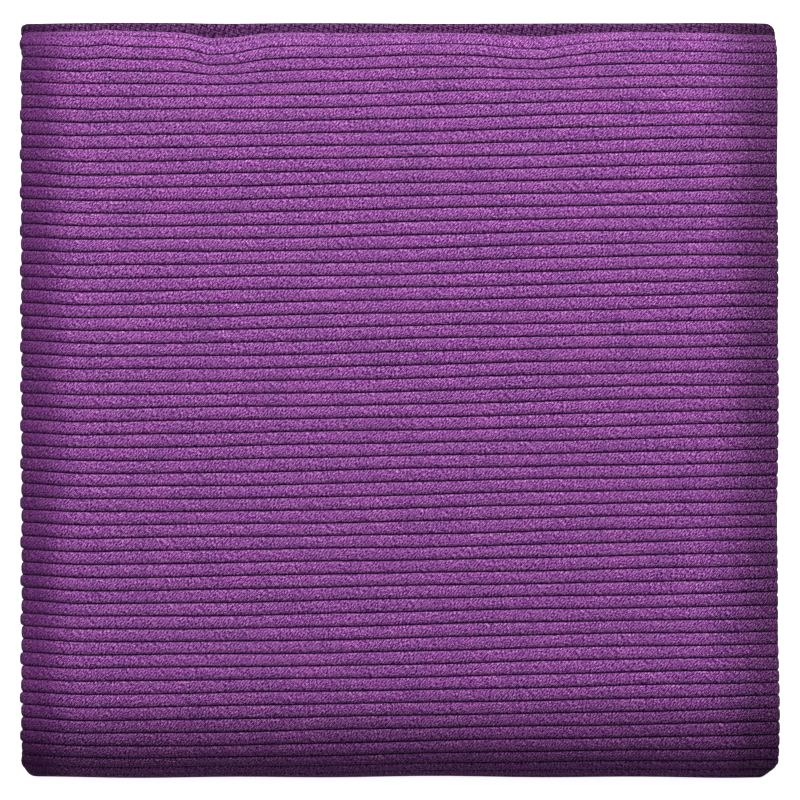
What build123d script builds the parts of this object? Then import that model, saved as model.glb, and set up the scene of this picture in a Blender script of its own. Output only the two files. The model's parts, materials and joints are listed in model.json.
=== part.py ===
from build123d import *
import os

# A ribbed quick-dry towel folded into a square packet, in millimetres.
# It is folded in half lengthwise, which puts a fold along X- in every layer and the
# hemmed long edge along X+. Then it is folded in half twice more across its length, which
# stacks four quarters of doubled cloth: first, fourth, third, second, counted upwards.
# The spine along Y- joins the first quarter to the second round the third and fourth.
# Origin: the middle of the packet's footprint, on the surface that it lies on.

# Driving sizes
packet_length = 200.0   # X, from the lengthwise folds to the hemmed edges
packet_width = 200.0    # Y, from the spine to the hemmed ends
layer = 2.7             # one thickness of the cloth as it lies pressed in the packet
layer_gap = 0.3         # air between one layer and the next
hem_width = 8.0         # turned hem, both along the long edges and at the ends
end_reach = 2.65        # how far the hemmed ends reach past the fold above them
hinge_clearance = 2.5   # from the ends of the flat cloth to the line it turns about

hem_edge_flat = 0.3     # what the rounding of a hem's turned edge leaves flat
stitch_inset = 6.0      # hem's outer edge to its row of stitches
thread_width = 0.7
thread_height = 0.4
thread_clearance = 0.1  # round the thread, in the furrow that it is pulled into

label_length = 45.0     # along the hem
label_width = 20.0      # from the hem into the cloth
label_thickness = 0.15
label_offset = 35.0     # label's centre, from the packet's middle towards the ends

# Where those sizes put things
pair = 2 * layer + layer_gap        # one doubled quarter
pitch = pair + layer_gap            # from one quarter to the next
height = 4 * pair + 3 * layer_gap
left = -packet_length / 2
right = packet_length / 2
spine_side = -packet_width / 2
end_side = packet_width / 2

fold_x = left + pair / 2            # centre line of the lengthwise folds
hem_x = right - hem_width           # where the long hem meets the plain cloth
hem_edge_radius = (layer - hem_edge_flat) / 2
mid_z = height / 2
flat_start = spine_side + height / 2    # where the spine ends and the flat cloth starts
hinge_y = flat_start - hinge_clearance

upper_mid_z = 2 * pitch + (2 * pair + layer_gap) / 2
upper_fold_radius = (2 * pair + layer_gap) / 2
upper_fold_y = end_side - end_reach - upper_fold_radius
end_hem_y = end_side - hem_width

# Quarter: level in the stack, and where its flat cloth stops on the Y+ side
quarters = {
    "first": (0, end_hem_y),
    "fourth": (1, end_hem_y),
    "third": (2, upper_fold_y),
    "second": (3, upper_fold_y),
}


def block(x, y, z):
    """A box between the two values that each of x, y and z gives."""
    spans = (x, y, z)
    centre = [(low + high) / 2 for low, high in spans]
    return Pos(*centre) * Box(*[high - low for low, high in spans])


def layer_spans(level):
    """The heights of the lower and the upper layer of the quarter at that level."""
    foot = level * pitch
    return (foot, foot + layer), (foot + pair - layer, foot + pair)


def fold_along_y(level, y):
    """The lengthwise fold that joins the two layers of a quarter, a half ring along Y."""
    centre_z = level * pitch + pair / 2
    middle = Pos(fold_x, (y[0] + y[1]) / 2, centre_z) * Rot(90, 0, 0)
    ring = middle * Cylinder(pair / 2, y[1] - y[0])
    ring -= middle * Cylinder(layer_gap / 2, y[1] - y[0])
    keep = block((left - layer, fold_x), y, (centre_z - pair, centre_z + pair))
    return ring & keep


def fold_along_x(y, z, outer, inner, towards):
    """A fold across the packet, a half ring along X that bulges to Y- or Y+."""
    middle = Pos((left + right) / 2, y, z) * Rot(0, 90, 0)
    ring = middle * Cylinder(outer, right - left)
    ring -= middle * Cylinder(inner, right - left)
    far = y + towards * 2 * outer
    keep = block((left, right), (min(y, far), max(y, far)), (z - 2 * outer, z + 2 * outer))
    return ring & keep


def furrow(x, y, face, inwards):
    """The furrow that a row of stitches pulls into a face of a hem, up (1) or down (-1)."""
    floor = face + inwards * (thread_height + thread_clearance)
    return block(x, y, (min(face, floor), max(face, floor)))


def thread(x, y, face, inwards):
    """A row of stitches in its furrow, as one bar that stays clear of the furrow's walls."""
    x_span = (x[0] + thread_clearance, x[1] - thread_clearance)
    y_span = (y[0] + thread_clearance, y[1] - thread_clearance)
    floor = face + inwards * (thread_height + thread_clearance)
    crest = floor - inwards * thread_height
    return block(x_span, y_span, (min(crest, floor), max(crest, floor)))


def side_faces(level):
    """The faces that a long hem is stitched through, each with its direction inwards. They
    face each other inside the quarter, because the hem is turned to the inside."""
    lower, upper = layer_spans(level)
    return (lower[1], -1), (upper[0], 1)


def end_faces(level):
    """The faces that an end hem is topstitched through, each with its direction inwards. They
    are the outer faces of the quarter."""
    lower, upper = layer_spans(level)
    return (lower[0], 1), (upper[1], -1)


def side_row(y):
    """The X and Y spans of the furrow along a long hem."""
    centre = right - stitch_inset
    half = thread_width / 2 + thread_clearance
    return (centre - half, centre + half), y


def end_row():
    """The X and Y spans of the furrow along an end hem."""
    centre = end_side - stitch_inset
    half = thread_width / 2 + thread_clearance
    return (fold_x, right - stitch_inset), (centre - half, centre + half)


def quarter_cloth(level, y_end):
    """Two flat layers of a quarter and the lengthwise fold between them."""
    y = (flat_start, y_end)
    lower, upper = layer_spans(level)
    cloth = fold_along_y(level, y)
    cloth += block((fold_x, hem_x), y, lower)
    cloth += block((fold_x, hem_x), y, upper)
    return cloth


def side_hem(level, y_end):
    """The hemmed long edges of both layers of a quarter."""
    y = (flat_start, y_end)
    hems = []
    for z, stitched in zip(layer_spans(level), side_faces(level)):
        bar = block((hem_x, right), y, z)
        outer_edges = bar.edges().filter_by(Axis.Y).sort_by(Axis.X)[-2:]
        bar = fillet(outer_edges, hem_edge_radius)
        hems.append(bar - furrow(*side_row(y), *stitched))
    return Compound(children=hems)


def end_hem(level):
    """The hemmed end of both layers of a quarter, with the fold between them."""
    y = (end_hem_y, end_side)
    hem = fold_along_y(level, y)
    for z, stitched in zip(layer_spans(level), end_faces(level)):
        bar = block((fold_x, right), y, z)
        turned = bar.edges().filter_by(Axis.X).sort_by(Axis.Y)[-2:]
        turned += bar.edges().filter_by(Axis.Y).sort_by(Axis.X)[-2:]
        hem += fillet(turned, hem_edge_radius) - furrow(*end_row(), *stitched)
    return hem


def side_stitching(level, y_end):
    """The rows of stitches along the long hems of a quarter."""
    spans = side_row((flat_start, y_end))
    return Compound(children=[thread(*spans, *face) for face in side_faces(level)])


def end_stitching(level):
    """The rows of stitches along the end hem of a quarter."""
    return Compound(children=[thread(*end_row(), *face) for face in end_faces(level)])


def care_label():
    """A small blank label, caught in the long hem and lying on the fourth quarter."""
    foot = pitch + pair + (layer_gap - label_thickness) / 2
    x = (right - label_width - hem_edge_radius, right - hem_edge_radius)
    y = (label_offset - label_length / 2, label_offset + label_length / 2)
    return block(x, y, (foot, foot + label_thickness))


parts = {}
for name, (level, y_end) in quarters.items():
    parts[f"{name}_quarter_cloth"] = quarter_cloth(level, y_end)
    parts[f"{name}_quarter_side_hem"] = side_hem(level, y_end)
    parts[f"{name}_quarter_side_stitching"] = side_stitching(level, y_end)
for name in ("first", "fourth"):
    level = quarters[name][0]
    parts[f"{name}_quarter_end_hem"] = end_hem(level)
    parts[f"{name}_quarter_end_stitching"] = end_stitching(level)

inner_spine_radius = pair + layer_gap / 2
parts["outer_spine_fold"] = fold_along_x(
    flat_start, mid_z, height / 2, inner_spine_radius + layer_gap, -1
)
parts["inner_spine_fold"] = fold_along_x(
    flat_start, mid_z, inner_spine_radius, layer_gap / 2, -1
)
parts["upper_end_fold"] = fold_along_x(
    upper_fold_y, upper_mid_z, upper_fold_radius, layer_gap / 2, 1
)
parts["care_label"] = care_label()

os.makedirs("parts", exist_ok=True)
for name, shape in parts.items():
    export_step(shape, f"parts/{name}.step")

print(f"height {height:.2f}, hinge line at y {hinge_y:.2f}, z {mid_z:.2f}")
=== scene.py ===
import json
import math

import bmesh
import bpy
import numpy as np
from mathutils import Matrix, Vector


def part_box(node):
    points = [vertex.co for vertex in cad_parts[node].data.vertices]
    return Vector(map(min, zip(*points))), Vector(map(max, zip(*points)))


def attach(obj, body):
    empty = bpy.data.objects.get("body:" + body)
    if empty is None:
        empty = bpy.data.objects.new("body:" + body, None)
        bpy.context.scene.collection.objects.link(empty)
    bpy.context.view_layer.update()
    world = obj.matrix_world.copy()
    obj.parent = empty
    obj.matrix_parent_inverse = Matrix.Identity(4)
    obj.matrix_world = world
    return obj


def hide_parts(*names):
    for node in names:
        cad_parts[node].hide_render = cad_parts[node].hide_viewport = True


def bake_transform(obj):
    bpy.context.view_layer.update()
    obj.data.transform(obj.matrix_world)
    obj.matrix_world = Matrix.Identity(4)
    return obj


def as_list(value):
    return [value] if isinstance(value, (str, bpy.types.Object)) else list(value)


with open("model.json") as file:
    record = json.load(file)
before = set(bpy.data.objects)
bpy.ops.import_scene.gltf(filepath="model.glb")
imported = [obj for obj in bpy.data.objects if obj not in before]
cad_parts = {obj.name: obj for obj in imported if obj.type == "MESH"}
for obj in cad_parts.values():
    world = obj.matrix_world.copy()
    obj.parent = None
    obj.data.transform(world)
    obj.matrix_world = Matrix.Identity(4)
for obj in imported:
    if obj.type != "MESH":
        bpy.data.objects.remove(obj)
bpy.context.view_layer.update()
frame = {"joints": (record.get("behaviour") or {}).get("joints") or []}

# ---------------------------------------------------------------------------------------
# The towel: one cut of ribbed microfibre, with round ribs along X and a narrow furrow
# between each two. It is doubled along its length, and the doubled band then follows one
# course through the stack: first quarter, spine, second, upper fold, third, spine, fourth.

# How the band lies, from the frame, in metres
first_low, first_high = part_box("first_quarter_cloth")
second_low, second_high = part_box("second_quarter_cloth")
pair = first_high.z - first_low.z               # a quarter's two layers and their gap
pitch = (second_low.z - first_low.z) / 3        # from one quarter up to the next
layer_gap = pitch - pair
layer = (pair - layer_gap) / 2
spine_start = first_low.y
upper_fold_start = second_high.y
end_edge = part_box("first_quarter_end_hem")[1].y
end_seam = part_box("first_quarter_end_hem")[0].y
right_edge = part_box("first_quarter_side_hem")[1].x
side_seam = first_high.x
fold_line = first_low.x + pair / 2              # centre of the lengthwise folds
_, hinge_y, hinge_z = frame["joints"][0]["pos_m"]

RIBS_ON_FIRST, RIBS_ON_SPINE, RIBS_ON_SECOND, RIBS_ON_UPPER_FOLD = 55.55, 10, 52.8, 5
RIBS_ON_THIRD, RIBS_ON_INNER_SPINE, RIBS_ON_FOURTH = 53.75, 2, 54.9


def straight(ribs, start, end, z, up):
    """A flat stretch of the course, at height z, whose outer face looks up (1) or down (-1)."""
    def place(share):
        y = start + (end - start) * share
        return y, np.full_like(y, z), np.zeros_like(y), np.full_like(y, float(up))
    return ribs, place


def half_turn(ribs, y, z, radius, towards, turn, outwards):
    """A half circle of the course about a line along X, bulging towards Y- or Y+, that goes
    upwards (turn 1) or downwards (-1)."""
    def place(share):
        angle = turn * (share - 0.5) * math.pi
        across, along = np.cos(angle) * towards, np.sin(angle)
        return y + radius * across, z + radius * along, outwards * across, outwards * along
    return ribs, place


def middle_of(level):
    return level * pitch + pair / 2


course = [
    straight(RIBS_ON_FIRST, end_edge, spine_start, middle_of(0), -1),
    half_turn(RIBS_ON_SPINE, spine_start, hinge_z, 1.5 * pitch, -1, 1, 1),
    straight(RIBS_ON_SECOND, spine_start, upper_fold_start, middle_of(3), 1),
    half_turn(RIBS_ON_UPPER_FOLD, upper_fold_start, 2.5 * pitch + pair / 2, pitch / 2, 1, -1, 1),
    straight(RIBS_ON_THIRD, upper_fold_start, spine_start, middle_of(2), -1),
    half_turn(RIBS_ON_INNER_SPINE, spine_start, hinge_z, pitch / 2, -1, -1, -1),
    straight(RIBS_ON_FOURTH, spine_start, end_edge, middle_of(1), 1),
]
turning_ribs = np.cumsum([0] + [ribs for ribs, place in course])
RIBS_IN_ALL = round(turning_ribs[-1])
end_rib_pitch = (end_edge - spine_start) / RIBS_ON_FOURTH
rib_pitch = (upper_fold_start - spine_start) / RIBS_ON_SECOND


def follow(rib):
    """The course's y and z, and its outward direction, at a distance counted in ribs."""
    found = np.zeros((4,) + rib.shape)
    which = np.clip(np.searchsorted(turning_ribs, rib, side="right") - 1, 0, len(course) - 1)
    for i, (ribs, place) in enumerate(course):
        here = which == i
        found[:, here] = place((rib[here] - turning_ribs[i]) / ribs)
    return found


def ease(value, low, high):
    """0 below low, 1 above high, and a smooth rise between them."""
    share = np.clip((value - low) / (high - low), 0, 1)
    return share * share * (3 - 2 * share)


# The ribs lie about a degree askew to the packet's sides: level near the lengthwise fold,
# then rising towards the hemmed edge. They run on round the fold to the hidden layer.
SKEW_RISE, EVEN_SHARE = 3.1e-3, 0.3             # over half the towel's width, part of it evenly
HALF_TOWEL = 0.2
LEVEL_REACH, SKEW_REACH = 0.02, 0.225           # from the fold to where the rise starts, ends
WANDER, WANDER_WAVE, WANDER_RIPPLE = 0.13e-3, 0.019, 0.008


def skew(across, rib):
    """How far a rib has moved along the towel, at a distance across it from the fold."""
    distance = np.abs(across)
    sudden = ease(distance, LEVEL_REACH, SKEW_REACH)
    rise = SKEW_RISE * (EVEN_SHARE * distance / HALF_TOWEL + (1 - EVEN_SHARE) * sudden)
    wander = np.sin(distance / WANDER_WAVE + rib * 0.61)
    wander = wander + np.sin(distance / WANDER_RIPPLE - rib * 1.37) / 2
    level = SKEW_RISE / 4 * ease(distance, 0, LEVEL_REACH)
    return np.sign(across) * (rise - level) + WANDER * wander


# The band's section has an outer and an inner side, with the same columns: along the layer
# whose outer side shows, round the lengthwise fold, and back along the hidden layer.
EDGE_COLUMNS, HEM_COLUMNS, FOLD_COLUMNS = 4, 6, 13
SHOWN_COLUMNS, HIDDEN_COLUMNS = 36, 9
stitch_low, stitch_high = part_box("first_quarter_side_stitching")
STITCH_ROW = (stitch_low.x + stitch_high.x) / 2
STITCH_INSET = right_edge - STITCH_ROW
FURROW_HALF_WIDTH, FURROW_DEPTH = 0.55e-3, 0.5e-3   # that the stitches pull into a hem
ACROSS_FURROW = np.array([1.0, 0.4, -0.4, -1.0])
middle = layer_gap / 2 + layer / 2              # of the band to the middle of a layer
turned = right_edge - layer / 2                 # where a hem's edge starts to turn
CROWDING = 0.08                                 # of the columns, towards both ends of a layer


def columns_along(count):
    """Where the columns of one flat layer are, from the hemmed edge to the fold."""
    share = np.linspace(0, 1, count)
    spread = turned + (fold_line - turned) * (share - CROWDING * np.sin(2 * math.pi * share))
    hem = STITCH_ROW + FURROW_HALF_WIDTH * ACROSS_FURROW
    spread = spread[(spread < side_seam - 1e-3) & (spread > fold_line + 1e-5)]
    return np.concatenate([[turned], hem, [side_seam], spread])


FOLD_SQUARENESS = 0.8       # 1 is a round fold, less is squarer


def band_section():
    """x and n of each column's middle, its outer direction, and its distance across."""
    rows = []
    arc = math.pi * pair / 4
    for sign, count in ((1, SHOWN_COLUMNS), (-1, HIDDEN_COLUMNS)):
        side = []
        for i in range(EDGE_COLUMNS):
            angle = math.pi / 2 * (i + 0.5) / EDGE_COLUMNS
            across = turned - fold_line + arc + (math.pi / 2 - angle) * layer / 2
            side.append((turned, middle, math.cos(angle), math.sin(angle), across))
        side += [(x, middle, 0.0, 1.0, x - fold_line + arc) for x in columns_along(count)]
        rows.append([(x, sign * n, ox, sign * on, sign * a) for x, n, ox, on, a in side])
    fold = []
    for angle in np.linspace(0, math.pi, FOLD_COLUMNS):
        x = -abs(math.sin(angle)) ** FOLD_SQUARENESS
        n = math.copysign(abs(math.cos(angle)) ** FOLD_SQUARENESS, math.cos(angle))
        fold.append((fold_line + middle * x, middle * n, x, n, (math.pi / 2 - angle) * pair / 2))
    return np.array(rows[0] + fold + rows[1][::-1]).T


section = band_section()
column_count = section.shape[1]
hem_columns = EDGE_COLUMNS + HEM_COLUMNS
shown_hem = (0, hem_columns)
plain = (hem_columns - 1, column_count - hem_columns + 1)
hidden_hem = (column_count - hem_columns, column_count)
whole = (0, column_count)

# The stack is softer at its rim, so its top slopes down to all four sides. The layers keep
# level beside the hinge, because the two spine folds bend open there. At the upper fold the
# top layers pucker, where the fold gathers them.
SIDE_DROP, SPINE_DROP, END_DROP = 0.21, 0.18, 0.16      # shares of the height
FOLD_RIM, HEM_RIM, SPINE_RIM, END_RIM = 0.018, 0.024, 0.034, 0.040     # their widths
EDGE = 0.1                  # from the packet's middle to its sides
SAG = 0.012                 # share of the height by which the top dips and swells
LEVEL_SIDES, LEVEL_SAG, LEVEL_STACK = (0.055, 0.085), (0.060, 0.085), (0.066, 0.081)
RIM_WAVE_AT_END, RIM_WAVE_AT_SPINE = 0.07e-3, 0.14e-3
PUCKERS = [  # centre and half width along X, and how far they pull the cloth in, in metres
    (-0.0472, 0.0052, 2.1e-3), (-0.0460, 0.0130, 0.8e-3), (-0.0770, 0.0035, -0.6e-3),
    (-0.0150, 0.0050, 0.4e-3), (0.0085, 0.0120, -0.3e-3), (0.0355, 0.0090, 1.5e-3),
    (0.0600, 0.0100, -0.3e-3), (0.0940, 0.0140, 1.0e-3), (0.0200, 0.0750, 0.9e-3),
]
PUCKER_START, PUCKER_END, LIFT = (0.0800, 0.0945), (0.0945, 0.0985), (0.0740, 0.0920)
END_SHARE, LIFT_SHARE = 0.45, 0.6               # of a pucker's pull

# Where the corners start and end, and how far they come in, or out at the upper fold
SPINE_CORNER, END_CORNER, FOLD_CORNER = (0.0945, 0.1003), (0.0965, 0.1005), (0.0915, 0.0960)
CORNER_REACH = (0.070, 0.100)                   # along X
RIGHT_ROUNDING, LEFT_ROUNDING, END_ROUNDING, FOLD_FULLNESS = 3.4e-3, 1.0e-3, 0.9e-3, 0.5e-3


def settle(x, y, z):
    """Moves points of the ideal packet to where the soft one has them."""
    def slope(outwards, width, power):
        return np.clip((outwards - (EDGE - width)) / width, 0, 1.1) ** power

    rim = np.where(x < 0, slope(-x, FOLD_RIM, 2.3), slope(x, HEM_RIM, 2.2))
    sides = np.clip(rim, 0, 1)
    drop = SIDE_DROP * rim * (1 - 0.6 * ease(-y, *LEVEL_SIDES))
    drop = drop + SPINE_DROP * slope(-y, SPINE_RIM, 2)
    drop = drop + END_DROP * slope(y, END_RIM, 1.6)
    sag = SAG * (np.sin(x / 0.037 + 1.0) * np.sin(y / 0.041) + np.sin(x / 0.021 - y / 0.027))
    drop = drop - sag * (1 - sides) * (1 - ease(-y, *LEVEL_SAG))
    above = np.maximum(z - hinge_z, 0)
    level = z - 2 * drop * above
    settled_z = z * (1 - drop) + (level - z * (1 - drop)) * ease(-y, *LEVEL_STACK)
    upper = ease(z, pitch * 2 - layer, pitch * 2 + layer)
    pull = np.zeros_like(x)
    for centre, half_width, depth in PUCKERS:
        pull += depth * np.exp(-((x - centre) / half_width) ** 2)
    fading = 1 - END_SHARE * ease(y, *PUCKER_END)
    settled_y = y - pull * upper * ease(y, *PUCKER_START) * fading
    settled_z -= LIFT_SHARE * pull * upper * ease(y, *LIFT)
    rim_wave = np.sin(x / 0.0085 + 40 * z) + np.sin(x / 0.023 + 1.1)
    settled_y -= RIM_WAVE_AT_END * (2 + rim_wave) * ease(y, 0.090, 0.099)
    settled_y += RIM_WAVE_AT_SPINE * (3 + rim_wave) * ease(-y, 0.090, 0.099)

    # The corners: rounded at the spine and at the hemmed end, fuller at the upper fold
    corner, far_corner = ease(-y, *SPINE_CORNER), ease(y, *END_CORNER)
    narrowing = np.where(x > 0, RIGHT_ROUNDING, LEFT_ROUNDING) * corner ** 1.7
    narrowing += np.where(x > 0, END_ROUNDING, 0) * far_corner ** 1.5
    narrowing -= np.where(x > 0, 0, FOLD_FULLNESS) * upper * ease(y, *FOLD_CORNER)
    settled_x = x - np.sign(x) * narrowing * ease(np.abs(x), *CORNER_REACH)
    return settled_x, settled_y, settled_z


# How far the band's fold and its two hemmed edges stay inside the frame at the course's
# turning points: no two quarters were laid quite alike.
FOLD_SHORT = (-0.3e-3, 0.5e-3, 0.3e-3, 0.0e-3, 0.1e-3, 0.6e-3, 0.4e-3, -0.5e-3)
SHOWN_SHORT = (0.5e-3, 0.3e-3, 0.2e-3, 0.5e-3, 0.9e-3, 0.4e-3, 0.3e-3, 0.2e-3)
HIDDEN_SHORT = (0.1e-3, 0.4e-3, 0.4e-3, 0.2e-3, 0.2e-3, 0.6e-3, 0.6e-3, 0.8e-3)

RIB_DEPTH = 0.98e-3
RIB_FULLNESS, RIB_FLANK = 3.2, 0.47             # flatter tops, steeper flanks
STEPS_PER_RIB, RIM_STEPS = 12, 8
HEM_RIBS = 0.22                                 # of the ribs' height left in an end hem
HEM_BLEND = 1.5e-3                              # over which they sink, each side of its seam
UNEVEN = 0.09                                   # share by which a furrow's depth varies
WAVER, LOBE = 0.30e-3, 0.22e-3                  # of the hemmed edges, and of each rib's fold
RIM_WIDTH = 0.02                                # that the edges' waver fades over
HINGE_REACH = spine_start - hinge_y - layer_gap / 2


def band(first_rib, last_rib, hem_at=None):
    """Points of a stretch of the band: rows along it, columns, outer and inner side, xyz.
    hem_at is the rib where the towel's hemmed end is. Also gives each point's place on the
    cloth, with how high on its rib it is, and the row of the end hem's seam."""
    base_x, base_n, off_x, off_n, across = (v[None, :, None] for v in section)
    steps = (1 - np.cos(math.pi * np.arange(STEPS_PER_RIB) / STEPS_PER_RIB)) / 2
    ribs = np.append((np.arange(first_rib, last_rib)[:, None] + steps).ravel(), last_rib)
    seam = None
    if hem_at is not None:
        inwards = np.sign(first_rib + last_rib - 2 * hem_at)
        quarter_circle = np.linspace(0, math.pi / 2, RIM_STEPS)
        rim = (1 - np.cos(quarter_circle)) * layer / 2 / end_rib_pitch
        hem = (end_edge - end_seam) / end_rib_pitch
        row = (STITCH_INSET + FURROW_HALF_WIDTH * ACROSS_FURROW) / end_rib_pitch
        distance = np.abs(ribs - hem_at)
        kept = ribs[(distance > rim[-1] + 0.02) & (np.abs(distance - hem) > 0.02)]
        extra = hem_at + inwards * np.concatenate([rim, [hem], row])
        ribs = np.sort(np.concatenate([kept, extra]))
        seam = int(np.argmin(np.abs(np.abs(ribs - hem_at) - hem)))
    rib = ribs[:, None, None]
    from_end = np.full_like(rib, 1.0) if hem_at is None else np.abs(rib - hem_at) * end_rib_pitch
    moved = rib + skew(across, rib) / rib_pitch * ease(from_end, 0, 0.012)
    y, z, out_y, out_z = follow(moved)

    # How far each point stands off the middle of its layer
    within = np.abs(2 * (rib - np.floor(rib)) - 1)
    crest = (1 - within ** RIB_FULLNESS) ** RIB_FLANK
    hem_width = end_edge - end_seam
    hemmed = 1 - ease(from_end, hem_width - HEM_BLEND, hem_width + HEM_BLEND)
    crest = crest * (1 - hemmed * (1 - HEM_RIBS)) + hemmed * (1 - HEM_RIBS)
    thickness = layer / 2 * np.sqrt(1 - np.clip(1 - from_end / (layer / 2), 0, 1) ** 2)
    near_edge = ease(base_x, right_edge - 2.4e-3, right_edge - 0.4e-3)
    uneven = 1 + UNEVEN * np.sin(rib * 2.4) * np.sin(across / 0.011 + rib)
    dent = np.exp(-((from_end - STITCH_INSET) / FURROW_HALF_WIDTH) ** 2) * FURROW_DEPTH
    outer = thickness - RIB_DEPTH * (1 - crest) * (1 - 0.85 * near_edge) * uneven - dent
    inner_dent = np.abs(base_x - STITCH_ROW) < FURROW_HALF_WIDTH * 0.6
    inner = thickness - FURROW_DEPTH * inner_dent * (base_n != 0) + 0 * outer
    is_edge = np.abs(off_x) * (base_x > 0) > 0
    inner = np.where(is_edge, outer, inner)
    stand = np.maximum(np.concatenate([outer, inner], axis=2), 0)
    turn_x = np.concatenate([off_x, np.where(is_edge, off_x, -off_x)], axis=2)
    turn_n = np.concatenate([off_n, -off_n], axis=2)

    # The folds' and edges' own waver
    fold_short = np.interp(rib, turning_ribs, FOLD_SHORT)
    shown_short = np.interp(rib, turning_ribs, SHOWN_SHORT)
    hidden_short = np.interp(rib, turning_ribs, HIDDEN_SHORT)
    edge_short = np.where(base_n > 0, shown_short, hidden_short)
    left_zone = ease(-base_x, -fold_line - RIM_WIDTH, -fold_line)
    right_zone = ease(base_x, right_edge - RIM_WIDTH, turned)
    waver = WAVER * (1 + np.sin(rib / 4.1 + np.sign(base_n) * 1.3))
    lobe = LOBE * np.sin(np.floor(rib) * 2.1) * ease(np.abs(within - 1), 0, 0.3)
    x = base_x + turn_x * stand
    x = x + left_zone * (fold_short + lobe) - right_zone * (edge_short + waver)
    n = base_n + turn_n * stand
    y, z = y + out_y * n, z + out_z * n

    # The slit inside the inner spine goes on as far as the hinge's own line
    if first_rib <= turning_ribs[5] <= last_rib and last_rib < turning_ribs[7]:
        dy, dz = np.minimum(y - spine_start, 0), z - hinge_z
        radius = np.maximum(np.hypot(dy, dz), 1e-6)
        share = np.clip((radius - layer_gap / 2) / (pair + layer_gap / 2), 0, 1)
        y = y + dy / radius * HINGE_REACH * (1 - share)
    points = np.stack(settle(x, y, z), axis=-1)
    depth = np.concatenate([crest + 0 * outer, np.where(is_edge, crest, 0.5) + 0 * outer], axis=2)
    along = rib * rib_pitch + 0 * depth
    cloth = np.stack([across + 0 * depth, along, depth], axis=-1)
    return points, cloth, seam


def solid(name, points):
    """A closed mesh from rows and columns of points on two sides."""
    row_count, count = points.shape[:2]
    index = np.arange(row_count * count * 2).reshape(row_count, count, 2)

    def strip(a, b):
        return np.stack([a[:-1], b[:-1], b[1:], a[1:]], axis=-1).reshape(-1, 4)
    faces = [
        np.stack([g[:-1, :-1], g[:-1, 1:], g[1:, 1:], g[1:, :-1]], axis=-1).reshape(-1, 4)
        for g in (index[:, :, 0], index[:, ::-1, 1])
    ]
    faces.append(strip(index[:, 0, 1], index[:, 0, 0]))
    faces.append(strip(index[:, -1, 0], index[:, -1, 1]))
    faces.append(strip(index[0, :, 0], index[0, :, 1]))
    faces.append(strip(index[-1, :, 1], index[-1, :, 0]))
    mesh = bpy.data.meshes.new(name)
    mesh.from_pydata(points.reshape(-1, 3), [], np.concatenate(faces).tolist())
    piece = bpy.data.objects.new(name, mesh)
    bpy.context.scene.collection.objects.link(piece)
    return piece


MEETING = 1e-7              # points nearer than this are one
SHARP = math.radians(72)


def tidy_mesh(mesh):
    """Joins points that meet, turns the faces outwards and shades all but sharp edges."""
    shaped = bmesh.new()
    shaped.from_mesh(mesh)
    bmesh.ops.remove_doubles(shaped, verts=shaped.verts, dist=MEETING)
    bmesh.ops.recalc_face_normals(shaped, faces=shaped.faces)
    shaped.to_mesh(mesh)
    shaped.free()
    mesh.shade_smooth()
    mesh.set_sharp_from_angle(angle=SHARP)


class Shade:
    """A socket of a material's node tree, with Python's operators as Math nodes."""

    def __init__(self, tree, socket):
        self.tree, self.socket = tree, socket

    def node(self, kind, settings, inputs):
        """Adds a node of that kind, with its settings and its sockets' values or links."""
        made = self.tree.nodes.new("ShaderNode" + kind)
        for name, value in settings.items():
            setattr(made, name, value)
        for name, value in inputs.items():
            if isinstance(value, Shade):
                self.tree.links.new(value.socket, made.inputs[name])
            else:
                made.inputs[name].default_value = value
        return made

    def out(self, kind, settings, inputs, output=0):
        return Shade(self.tree, self.node(kind, settings, inputs).outputs[output])

    def maths(self, operation, *values):
        return self.out("Math", {"operation": operation}, dict(enumerate(values)))

    def __add__(self, other):
        return self.maths("ADD", self, other)

    def __sub__(self, other):
        return self.maths("SUBTRACT", self, other)

    def __rsub__(self, other):
        return self.maths("SUBTRACT", other, self)

    def __mul__(self, other):
        return self.maths("MULTIPLY", self, other)

    __radd__ = __add__
    __rmul__ = __mul__

    def __truediv__(self, other):
        return self.maths("DIVIDE", self, other)

    def __abs__(self):
        return self.maths("ABSOLUTE", self)

    def rise(self, low, high):
        """0 where this is below low, 1 above high, and smooth between them."""
        return self.out(
            "MapRange", {"interpolation_type": "SMOOTHSTEP"},
            {"Value": self, "From Min": low, "From Max": high},
        )

    def mix(self, low, high):
        """The colour low where this is 0, and the colour high where it is 1."""
        return self.out("Mix", {"data_type": "RGBA"}, {0: self, 6: low, 7: high}, 2)

    def feeds(self, shader, name):
        self.tree.links.new(self.socket, shader.inputs[name])


def new_material(name):
    """A material, its one Principled shader, and a start for its nodes."""
    material = bpy.data.materials.new(name)
    material.use_nodes = True
    tree = material.node_tree
    return material, tree.nodes["Principled BSDF"], Shade(tree, None)


# Dyed microfibre knit: rows of loops that slant across each rib, under slanting fibres, with
# painted highlights at their tips and dark between the rows. Shade is painted into the
# colour along the folds, the hemmed edges, the spine and the upper fold, and in the
# furrows between the ribs. The dye varies a little over the cloth.
MILLIMETRES = 1000.0
EDGE_DISTANCE = section[4].max()
SPINE_MIDDLE = (turning_ribs[1] + turning_ribs[2]) / 2 * rib_pitch
SPINE_HALF = (turning_ribs[2] - turning_ribs[1]) / 2 * rib_pitch
UPPER_FOLD_MIDDLE = (turning_ribs[3] + turning_ribs[4]) / 2 * rib_pitch
LOOP_STEP, LOOP_ROW = 0.35, 0.70                # in millimetres, as the next two are
FIBRE_LENGTH, FIBRE_WIDTH = 0.80, 0.18
LOOP_SLANT, HEM_SLANT = math.radians(48), math.radians(74)
MEAN_STAND = 0.62           # how high the knit stands on average, as a share
# Painted shade: how much darker the colour is made at the lengthwise fold, the hemmed edges, the
# spine and towards the upper fold
FOLD_PAINTED_SHADE, EDGE_PAINTED_SHADE, SPINE_PAINTED_SHADE, UPPER_FOLD_PAINTED_SHADE = 0.40, 0.54, 0.40, 0.13
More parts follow.
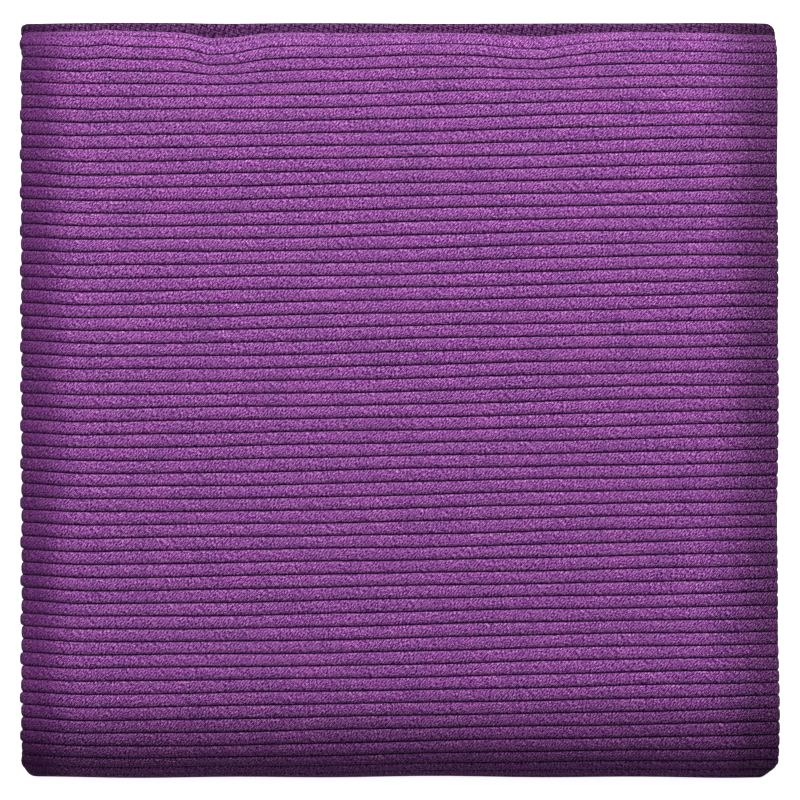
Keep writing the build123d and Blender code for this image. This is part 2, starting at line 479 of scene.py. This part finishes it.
FOLD_ZONE, EDGE_ZONE, SPINE_ZONE = (5.0, 17.5), (2.0, 22.0), (-2.0, 14.0)   # in millimetres
UPPER_FOLD_ZONE = (0.0, 65.0)
FURROW_ZONE = (0.30, 0.77)  # shares of a rib's height
KNIT_GLOSS, KNIT_SHEEN = 0.08, 0.03
KNIT_DARK = (0.050, 0.004, 0.070, 1)
KNIT_LIGHT = (0.410, 0.072, 0.460, 1)
# Painted highlight: the pale glint on the fibre tips
TIP_PAINTED_GLINT = (0.880, 0.470, 0.850, 1)
# Painted shade for the furrows between the ribs
FURROW_PAINTED_SHADE = (0.012, 0.001, 0.022, 1)


def knit_material(name, brightness, slant, size):
    """The knit made darker or lighter by brightness, its loops slanting by slant and size times
    as large.
    """
    material, shader, start = new_material(name)
    place = start.out("Attribute", {"attribute_name": "cloth"}, {}, 1)
    split = start.node("SeparateXYZ", {}, {"Vector": place})
    across, along, crest = (Shade(start.tree, split.outputs[i]) for i in range(3))
    across, along = across * MILLIMETRES, along * MILLIMETRES
    cosine, sine = math.cos(slant), math.sin(slant)
    lengthwise = across * cosine + along * sine
    crosswise = along * cosine - across * sine

    def noise(x, y, scale, detail):
        point = start.out("CombineXYZ", {}, {0: x, 1: y})
        inputs = {"Vector": point, "Scale": scale, "Detail": detail, "Roughness": 0.6}
        return start.out("TexNoise", {"noise_dimensions": "2D"}, inputs)

    loops = start.out("CombineXYZ", {}, {
        0: lengthwise / (LOOP_STEP * size), 1: crosswise / (LOOP_ROW * size),
    })
    cell = start.out(
        "TexVoronoi", {"voronoi_dimensions": "2D"},
        {"Vector": loops, "Scale": 1.0, "Randomness": 0.38},
    )
    loop = 1 - cell.rise(0.08, 0.72)
    fibre = noise(lengthwise / FIBRE_LENGTH, crosswise / FIBRE_WIDTH, 1.0, 0.0).rise(0.30, 0.70)
    fluff = noise(across, along, 5.4, 0.0)
    patch = noise(across, along, 0.11, 2.0)
    stand = loop * 0.58 + fibre * 0.38 + fluff * 0.29
    distance = abs(across)
    at_fold = 1 - distance.rise(*FOLD_ZONE)
    contrast = 1 - at_fold * 0.55
    shown_stand = (stand - MEAN_STAND) * contrast + MEAN_STAND
    colour = shown_stand.rise(0.40, 0.90).mix(KNIT_DARK, KNIT_LIGHT)
    # Painted highlight: pale glints on the fibre tips, which are also made a little less rough
    tip_glint = (fibre * 0.6 + fluff).rise(0.92, 1.18) * loop.rise(0.1, 0.6)
    colour = (tip_glint * 0.85 * contrast).mix(colour, TIP_PAINTED_GLINT)
    at_edge = 1 - (EDGE_DISTANCE * MILLIMETRES - distance).rise(*EDGE_ZONE)
    beyond_spine = abs(along - SPINE_MIDDLE * MILLIMETRES) - SPINE_HALF * MILLIMETRES
    at_spine = 1 - beyond_spine.rise(*SPINE_ZONE)
    # Painted shade: the furrows between the ribs are coloured near black, less so at the
    # lengthwise fold
    furrow_shade = (1 - crest.rise(*FURROW_ZONE)) * (1 - at_fold * 0.6)
    colour = furrow_shade.mix(colour, FURROW_PAINTED_SHADE)
    at_upper_fold = 1 - abs(along - UPPER_FOLD_MIDDLE * MILLIMETRES).rise(*UPPER_FOLD_ZONE)
    # Painted shade: the colour darkens towards the folds, the hemmed edges, the spine and the
    # upper fold, where the surface turns away from the light
    painted_shade = (1 - at_fold * FOLD_PAINTED_SHADE) * (1 - at_edge * EDGE_PAINTED_SHADE)
    painted_shade = painted_shade * (1 - at_spine * SPINE_PAINTED_SHADE) * (1 - at_upper_fold * UPPER_FOLD_PAINTED_SHADE)
    colour = start.out("HueSaturation", {}, {
        "Color": colour, "Hue": patch * 0.03 + 0.485,
        "Value": (patch * 0.30 + 0.85) * painted_shade * brightness,
    })
    colour.feeds(shader, "Base Color")
    bump = start.out("Bump", {}, {"Height": stand, "Strength": 0.85, "Distance": 0.30e-3})
    bump.feeds(shader, "Normal")
    (0.95 - tip_glint * 0.25).feeds(shader, "Roughness")
    shader.inputs["Specular IOR Level"].default_value = KNIT_GLOSS
    shader.inputs["Sheen Weight"].default_value = KNIT_SHEEN
    shader.inputs["Sheen Roughness"].default_value = 0.45
    shader.inputs["Sheen Tint"].default_value = (0.80, 0.45, 0.90, 1)
    return material


ribbed_knit = knit_material("ribbed_knit", 1.0, LOOP_SLANT, 1.0)
# The end hems' knit is made far darker than the ribbed cloth
HEM_BRIGHTNESS, HEM_LOOP_SIZE = 0.29, 1.8
hem_knit = knit_material("end_hem_knit", HEM_BRIGHTNESS, HEM_SLANT, HEM_LOOP_SIZE)


def cut(name, made, rows, columns, body, slot_name, *nodes):
    """Makes a piece from those rows and columns of a band, and gives it its body."""
    points, cloth, _ = made
    inside = (slice(*rows), slice(*columns))
    piece = solid(name, points[inside])
    attribute = piece.data.attributes.new("cloth", "FLOAT_VECTOR", "POINT")
    attribute.data.foreach_set("vector", cloth[inside].astype(np.float32).ravel())
    tidy_mesh(piece.data)
    piece.data.materials.append(hem_knit if "end_hem" in name else ribbed_knit)
    if body:
        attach(piece, body)
    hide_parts(*nodes)
    return piece


# ---------------------------------------------------------------------------------------
# The thread: rows of short lock stitches in polyester, each a flattened bead that dips in at
# both ends. They hold the turned hems down, in the furrow that they pull into them.
THREAD_HEIGHT, THREAD_WIDTH = 0.4e-3, 0.5e-3
STITCH_HEIGHT = 0.9 * THREAD_HEIGHT
STITCH, STITCH_GAP, STITCH_DIP = 2.6e-3, 0.35e-3, 0.1e-3
STITCH_RINGS, STITCH_SIDES = 7, 8
THREAD_DARK, THREAD_LIGHT = (0.085, 0.022, 0.100, 1), (0.230, 0.085, 0.260, 1)


def thread_material():
    material, shader, start = new_material("hem_thread")
    place = start.out("TexCoord", {}, {}, 3)
    twist = start.out(
        "TexWave", {"bands_direction": "DIAGONAL"},
        {"Vector": place, "Scale": 900.0, "Distortion": 1.5, "Detail": 2.0},
    )
    twist.rise(0.2, 0.8).mix(THREAD_DARK, THREAD_LIGHT).feeds(shader, "Base Color")
    bump = start.out("Bump", {}, {"Height": twist, "Strength": 0.6, "Distance": 0.08e-3})
    bump.feeds(shader, "Normal")
    shader.inputs["Roughness"].default_value = 0.55
    return material


hem_thread = thread_material()


def sew(name, node, body, along_x):
    """The two rows of stitches that the node has, along X or along Y."""
    low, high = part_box(node)
    start, end = (low.x, high.x) if along_x else (low.y, high.y)
    line = (low.y + high.y) / 2 if along_x else (low.x + high.x) / 2
    count = int((end - start) / (STITCH + STITCH_GAP))
    step = (end - start) / count
    along = np.linspace(-1, 1, STITCH_RINGS)[:, None]
    angle = np.arange(STITCH_SIDES)[None, :] * 2 * math.pi / STITCH_SIDES
    girth = np.sqrt(1 - (along * 0.97) ** 2)
    meshes = []
    faces = []
    for z, dip in ((low.z + THREAD_HEIGHT / 2, 1), (high.z - THREAD_HEIGHT / 2, -1)):
        inwards = dip if along_x else -dip
        for i in range(count):
            centre = start + (i + 0.5) * step
            a = centre + along * STITCH / 2 + 0 * angle
            b = line + girth * np.cos(angle) * THREAD_WIDTH / 2
            c = z + girth * np.sin(angle) * STITCH_HEIGHT / 2 + inwards * STITCH_DIP * along ** 2
            base = len(meshes) * STITCH_RINGS * STITCH_SIDES
            grid = base + np.arange(STITCH_RINGS * STITCH_SIDES).reshape(STITCH_RINGS, -1)
            around = np.roll(grid, -1, axis=1)
            quads = np.stack([grid[:-1], around[:-1], around[1:], grid[1:]], axis=-1)
            faces += quads.reshape(-1, 4).tolist()
            faces += [grid[0][::-1].tolist(), grid[-1].tolist()]
            x, y = (a, b) if along_x else (b, a)
            meshes.append(np.stack(settle(x, y, c), axis=-1).reshape(-1, 3))
    mesh = bpy.data.meshes.new(name)
    mesh.from_pydata(np.concatenate(meshes), [], faces)
    tidy_mesh(mesh)
    mesh.materials.append(hem_thread)
    piece = bpy.data.objects.new(name, mesh)
    bpy.context.scene.collection.objects.link(piece)
    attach(piece, body)
    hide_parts(node)
    return piece


def quarter(name, made, body):
    """A quarter's plain cloth, its long hems, its end hem if it has one, and the stitches."""
    points, _, seam = made
    row_count = len(points)
    if seam is None:
        rows = (0, row_count)
    elif seam < row_count / 2:
        rows = (seam, row_count)
    else:
        rows = (0, seam + 1)
    cloth = cut(f"{name}_cloth", made, rows, plain, body, "cloth", f"{name}_quarter_cloth")
    for side, columns in (("shown", shown_hem), ("hidden", hidden_hem)):
        hem = cut(f"{name}_{side}_hem", made, rows, columns, body, "hem",
                  f"{name}_quarter_side_hem")
    sew(f"{name}_hem_stitches", f"{name}_quarter_side_stitching", body, False)
    if seam is not None:
        rows = (0, seam + 1) if rows[0] else (seam, row_count)
        cut(f"{name}_end_hem", made, rows, whole, body, "hem",
                        f"{name}_quarter_end_hem")
        sew(f"{name}_end_stitches", f"{name}_quarter_end_stitching", body, True)


# The pieces meet in furrows, a rib or more into the flat cloth from each fold.
seams = [0]
for i in (1, 3, 5):
    seams += [math.floor(turning_ribs[i]) - 1, math.ceil(turning_ribs[i + 1]) + 1]
seams.append(RIBS_IN_ALL)

quarter("first", band(seams[0], seams[1], hem_at=0), "lower_half")

# ---------------------------------------------------------------------------------------
# The fourth quarter: it lies on the first, and is made as the first is. Its hemmed end
# reaches past the fold above it, and shows there as a dark roll.
quarter("fourth", band(seams[6], seams[7], hem_at=seams[7]), "lower_half")

# ---------------------------------------------------------------------------------------
# The third and second quarters: the third lies on the fourth, and the second on top of it,
# where its outer side shows. Both are plain cloth with sewn long hems, and have no end hem.
quarter("third", band(seams[4], seams[5]), "upper_half")
quarter("second", band(seams[2], seams[3]), "upper_half")


# ---------------------------------------------------------------------------------------
# The upper fold: it joins the second and third quarters at Y+, a doubled half turn of the
# same cloth over the hemmed ends.
def fold(name, node, first, radius, body, rests_on):
    """A half turn between two quarters, with the flat ribs that it takes along."""
    made = band(seams[first], seams[first + 1])
    piece = cut(name, made, (0, None), whole, body, "cloth", node)
    turn = turning_ribs[first + 1] - turning_ribs[first]
    flat_ribs = seams[first + 1] - seams[first] - turn
    math.pi * radius + flat_ribs * rib_pitch
    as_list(rests_on)
    return piece


fold("upper_fold", "upper_end_fold", 3, pitch / 2, "upper_half", ["fourth_cloth"])

# ---------------------------------------------------------------------------------------
# The spine at Y-: the first quarter's cloth turns up into the second, round the third's turn
# into the fourth.
outer_spine = fold("outer_spine", "outer_spine_fold", 1, 1.5 * pitch, None, ["first_cloth"])
inner_spine = fold("inner_spine", "inner_spine_fold", 5, pitch / 2, None, ["fourth_cloth"])
for spine, low, high in (
    (outer_spine, pair + 0.2e-3, 1.3 * hinge_z),
    (inner_spine, hinge_z - 0.14e-3, hinge_z + 0.09e-3),
):
    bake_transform(spine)

# ---------------------------------------------------------------------------------------
# The care label: a blank strip of woven grey satin ribbon, sewn into the long hem and lying
# flat on the fourth quarter, inside the packet.
label_low, label_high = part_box("care_label")
LABEL_COLUMNS, LABEL_ROWS = 21, 41
LABEL_WAVE = 0.03e-3
SATIN_DARK, SATIN_LIGHT = (0.17, 0.15, 0.19, 1), (0.28, 0.26, 0.31, 1)


def label_points():
    """The ribbon's upper and lower side, with a slight wave."""
    x, y = np.meshgrid(
        np.linspace(label_low.x, label_high.x, LABEL_COLUMNS),
        np.linspace(label_low.y, label_high.y, LABEL_ROWS),
    )
    wave = LABEL_WAVE * np.sin(x / 0.0031) * np.sin(y / 0.0047)
    sides = [settle(x, y, z + wave) for z in (label_high.z, label_low.z)]
    return np.stack([np.stack(side, axis=-1) for side in sides], axis=2)


def label_material():
    material, shader, start = new_material("blank_satin")
    place = start.out("TexCoord", {}, {}, 3)
    weave = start.out(
        "TexWave", {"bands_direction": "X"},
        {"Vector": place, "Scale": 1200.0, "Distortion": 0.6, "Detail": 1.0},
    )
    weave.mix(SATIN_DARK, SATIN_LIGHT).feeds(shader, "Base Color")
    bump = start.out("Bump", {}, {"Height": weave, "Strength": 0.4, "Distance": 0.03e-3})
    bump.feeds(shader, "Normal")
    shader.inputs["Roughness"].default_value = 0.38
    return material


label = solid("blank_label", label_points())
tidy_mesh(label.data)
label.data.materials.append(label_material())
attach(label, "lower_half")
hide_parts("care_label")

# ---------------------------------------------------------------------------------------
# The studio table: a white floor that glows a little, a large soft light beyond the towel's
# hemmed end and a little to its right, a weak one high above it, and a camera straight above.
TABLE_WHITE, TABLE_GLOW, TABLE_SIZE, TABLE_DROP = (0.93, 0.93, 0.93, 1), 0.80, 6, 0.2e-3
ROOM_TINT, ROOM_LIGHT = (0.86, 0.86, 1.0, 1), 0.18
floor_material, floor_shader, _ = new_material("white_table")
floor_shader.inputs["Base Color"].default_value = TABLE_WHITE
floor_shader.inputs["Roughness"].default_value = 0.9
floor_shader.inputs["Emission Color"].default_value = (1, 1, 1, 1)
floor_shader.inputs["Emission Strength"].default_value = TABLE_GLOW
bpy.ops.mesh.primitive_plane_add(size=TABLE_SIZE, location=(0, 0, -TABLE_DROP))
floor = bpy.context.object
floor.name = "table"
floor.data.materials.append(floor_material)
floor.visible_diffuse = False


def soft_light(name, place, size, power):
    """A square area light that faces the middle of the towel."""
    lamp = bpy.data.lights.new(name, "AREA")
    lamp.size = size
    lamp.energy = power
    holder = bpy.data.objects.new(name, lamp)
    holder.location = place
    holder.rotation_euler = (-holder.location).to_track_quat("-Z", "Y").to_euler()
    bpy.context.scene.collection.objects.link(holder)


soft_light("key_light", (0.04, 0.60, 0.50), 0.42, 9.3)
soft_light("fill_light", (0.0, -0.1, 1.3), 0.9, 2.5)

world = bpy.data.worlds.new("studio")
bpy.context.scene.world = world
world.use_nodes = True
world.node_tree.nodes["Background"].inputs["Color"].default_value = ROOM_TINT
world.node_tree.nodes["Background"].inputs["Strength"].default_value = ROOM_LIGHT
bpy.context.scene.view_settings.view_transform = "Standard"

CAMERA_HEIGHT = 1.30
SEEN_WIDTH = 0.2113         # at half the packet's height
lens = bpy.data.cameras.new("camera")
lens.lens = lens.sensor_width * (CAMERA_HEIGHT - hinge_z) / SEEN_WIDTH
camera = bpy.data.objects.new("camera", lens)
camera.location = (0, 0, CAMERA_HEIGHT)
bpy.context.scene.collection.objects.link(camera)
bpy.context.scene.camera = camera
